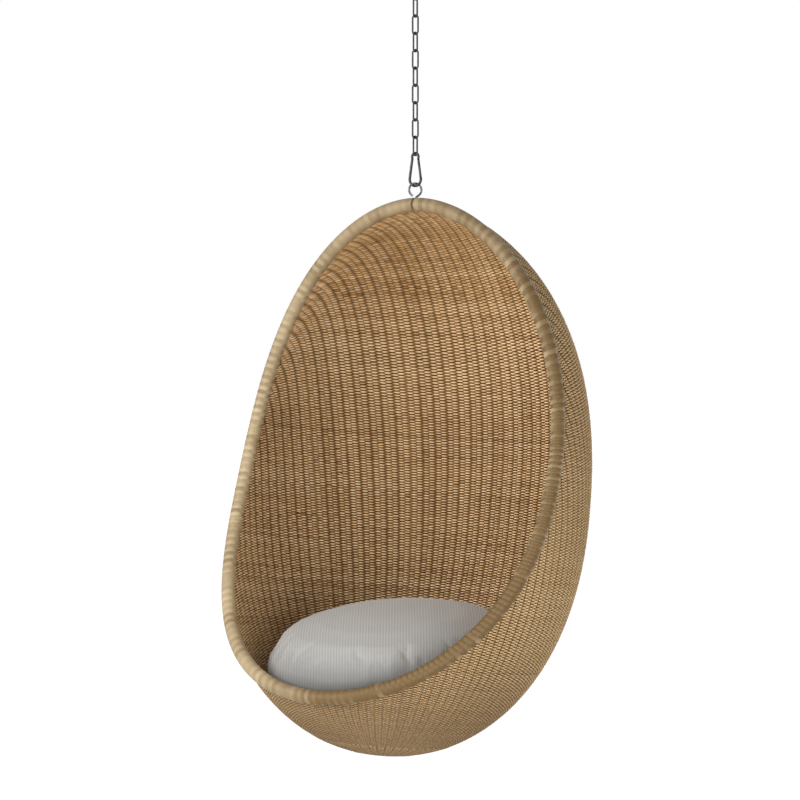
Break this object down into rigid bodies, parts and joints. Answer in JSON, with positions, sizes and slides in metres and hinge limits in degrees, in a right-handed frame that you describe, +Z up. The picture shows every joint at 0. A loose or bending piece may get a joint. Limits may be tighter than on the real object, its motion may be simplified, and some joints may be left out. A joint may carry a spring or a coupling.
{
  "type": "hanging pod chair",
  "caption": "Egg-shaped woven cane pod chair with a round seat cushion, hung by an eye and a snap hook from a chain under a ceiling plate.",
  "frame": {"origin": "centre of the ceiling plate's flat top face, straight above the chain", "axes": "+Z up into the ceiling, -Y the way the open front of the chair faces, +X the sitter's left"},
  "size_m": [0.8552, 0.7762, 1.7548],
  "materials": {
    "dark_steel": "dull grey zinc",
    "bright_steel": "polished",
    "pole": "bent cane pole, raw",
    "peel": "split peel wound over the rim, satin",
    "cane": "natural cane, satin",
    "weave": "plain weave of thin round strands, oiled",
    "cushion_cloth": "woven cloth, matt"
  },
  "bodies": {
    "ceiling": {"ceiling_plate": "dark_steel", "ceiling_hook": "dark_steel"},
    "link_01": {"chain_link_01": "dark_steel"},
    "link_02": {"chain_link_02": "dark_steel"},
    "link_03": {"chain_link_03": "dark_steel"},
    "link_04": {"chain_link_04": "dark_steel"},
    "link_05": {"chain_link_05": "dark_steel"},
    "link_06": {"chain_link_06": "dark_steel"},
    "link_07": {"chain_link_07": "dark_steel"},
    "link_08": {"chain_link_08": "dark_steel"},
    "link_09": {"chain_link_09": "dark_steel"},
    "link_10": {"chain_link_10": "dark_steel"},
    "snap_hook": {"snap_hook_body": "dark_steel", "snap_hook_pin": "bright_steel"},
    "snap_gate": {"snap_hook_gate": "dark_steel"},
    "chair": {"hanging_eye": "bright_steel", "hanging_nut": "bright_steel", "hanging_washer": "bright_steel", "rim_hoop": "pole", "rim_binding_1": "peel", "rim_binding_2": "peel", "rim_binding_3": "peel", "rim_binding_4": "peel", "rim_binding_5": "peel", "rim_binding_6": "peel", "base_hub": "cane", "shell_cane_01": "cane", "shell_cane_02": "cane", "shell_cane_03": "cane", "shell_cane_04": "cane", "shell_cane_05": "cane", "shell_cane_06": "cane", "shell_cane_07": "cane", "shell_cane_08": "cane", "shell_cane_09": "cane", "shell_cane_10": "cane", "shell_cane_11": "cane", "shell_cane_12": "cane", "woven_panel_01": "weave", "woven_panel_02": "weave", "woven_panel_03": "weave", "woven_panel_04": "weave", "woven_panel_05": "weave", "woven_panel_06": "weave", "woven_panel_07": "weave", "woven_panel_08": "weave", "woven_panel_09": "weave", "woven_panel_10": "weave", "woven_panel_11": "weave", "woven_panel_12": "weave"},
    "cushion": {"seat_cushion": "cushion_cloth"}
  },
  "joints": [
    {"name": "link_01_swing", "type": "hinge", "parent": "ceiling", "child": "link_01", "pos_m": [0, 0, -0.043], "axis": [0, 1, 0], "range_deg": [-30, 30]},
    {"name": "link_02_swing", "type": "hinge", "parent": "link_01", "child": "link_02", "pos_m": [0, 0, -0.0798], "axis": [1, 0, 0], "range_deg": [-30, 30]},
    {"name": "link_03_twist", "type": "hinge", "parent": "link_02", "child": "link_03", "pos_m": [0, 0, -0.1181], "axis": [0, 0, 1], "range_deg": [-15, 15]},
    {"name": "link_04_swing", "type": "hinge", "parent": "link_03", "child": "link_04", "pos_m": [0, 0, -0.1564], "axis": [-1, 0, 0], "range_deg": [-30, 30]},
    {"name": "link_05_swing", "type": "hinge", "parent": "link_04", "child": "link_05", "pos_m": [0, 0, -0.1947], "axis": [0, -1, 0], "range_deg": [-30, 30]},
    {"name": "link_06_twist", "type": "hinge", "parent": "link_05", "child": "link_06", "pos_m": [0, 0, -0.233], "axis": [0, 0, 1], "range_deg": [-15, 15]},
    {"name": "link_07_swing", "type": "hinge", "parent": "link_06", "child": "link_07", "pos_m": [0, 0, -0.2713], "axis": [0, 1, 0], "range_deg": [-30, 30]},
    {"name": "link_08_swing", "type": "hinge", "parent": "link_07", "child": "link_08", "pos_m": [0, 0, -0.3096], "axis": [1, 0, 0], "range_deg": [-30, 30]},
    {"name": "link_09_twist", "type": "hinge", "parent": "link_08", "child": "link_09", "pos_m": [0, 0, -0.3479], "axis": [0, 0, 1], "range_deg": [-15, 15]},
    {"name": "link_10_swing", "type": "hinge", "parent": "link_09", "child": "link_10", "pos_m": [0, 0, -0.3862], "axis": [-1, 0, 0], "range_deg": [-30, 30]},
    {"name": "snap_hook_swing", "type": "hinge", "parent": "link_10", "child": "snap_hook", "pos_m": [0, 0, -0.4245], "axis": [0, -1, 0], "range_deg": [-30, 30]},
    {"name": "gate_hinge", "type": "hinge", "parent": "snap_hook", "child": "snap_gate", "pos_m": [0.00886, 0, -0.43711], "axis": [0, 1, 0], "range_deg": [0, 20], "stiffness_Nm_per_rad": 0.05, "springref_deg": -22.92},
    {"name": "chair_tilt", "type": "hinge", "parent": "snap_hook", "child": "chair", "pos_m": [0, 0, -0.4922], "axis": [1, 0, 0], "range_deg": [-25, 25]},
    {"name": "cushion_lift", "type": "slide", "parent": "chair", "child": "cushion", "axis": [0, 0, 1], "range_m": [0, 0.25]}
  ]
}
